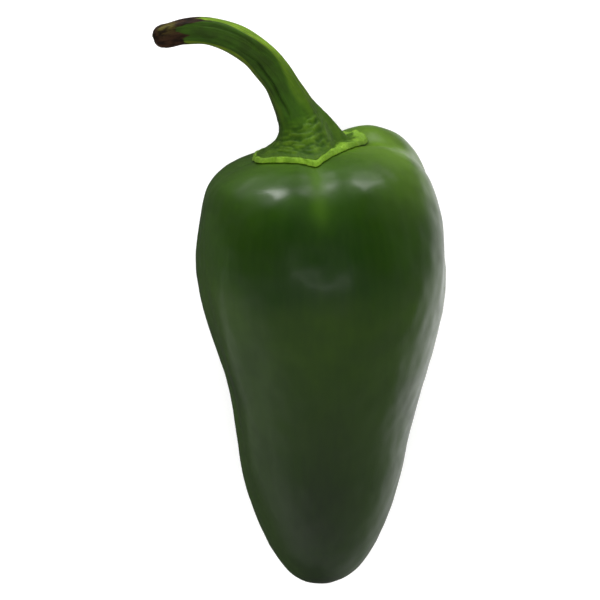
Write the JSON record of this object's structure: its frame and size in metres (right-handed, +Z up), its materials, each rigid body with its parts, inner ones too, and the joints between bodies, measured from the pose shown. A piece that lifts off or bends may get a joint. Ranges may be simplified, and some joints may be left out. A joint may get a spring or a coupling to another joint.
{
  "type": "chilli pepper",
  "caption": "Broad, dark green chilli pepper with a blunt tip, a cornered calyx and a curved stalk with a dried cut end, lying on its back.",
  "frame": {"origin": "on the plane the pepper lies on, under the middle of the whole pepper", "axes": "+Z up, +Y from the tip towards the stalk, +X to the right when seen from above with the stalk away from the viewer"},
  "size_m": [0.0722, 0.1434, 0.0604],
  "materials": {
    "pod_skin": "smooth waxy gloss",
    "stem_skin": "satin, ribbed, dried brown at the cut end"
  },
  "bodies": {
    "root": {"pod": "pod_skin", "stem_and_calyx": "stem_skin"}
  },
  "joints": []
}
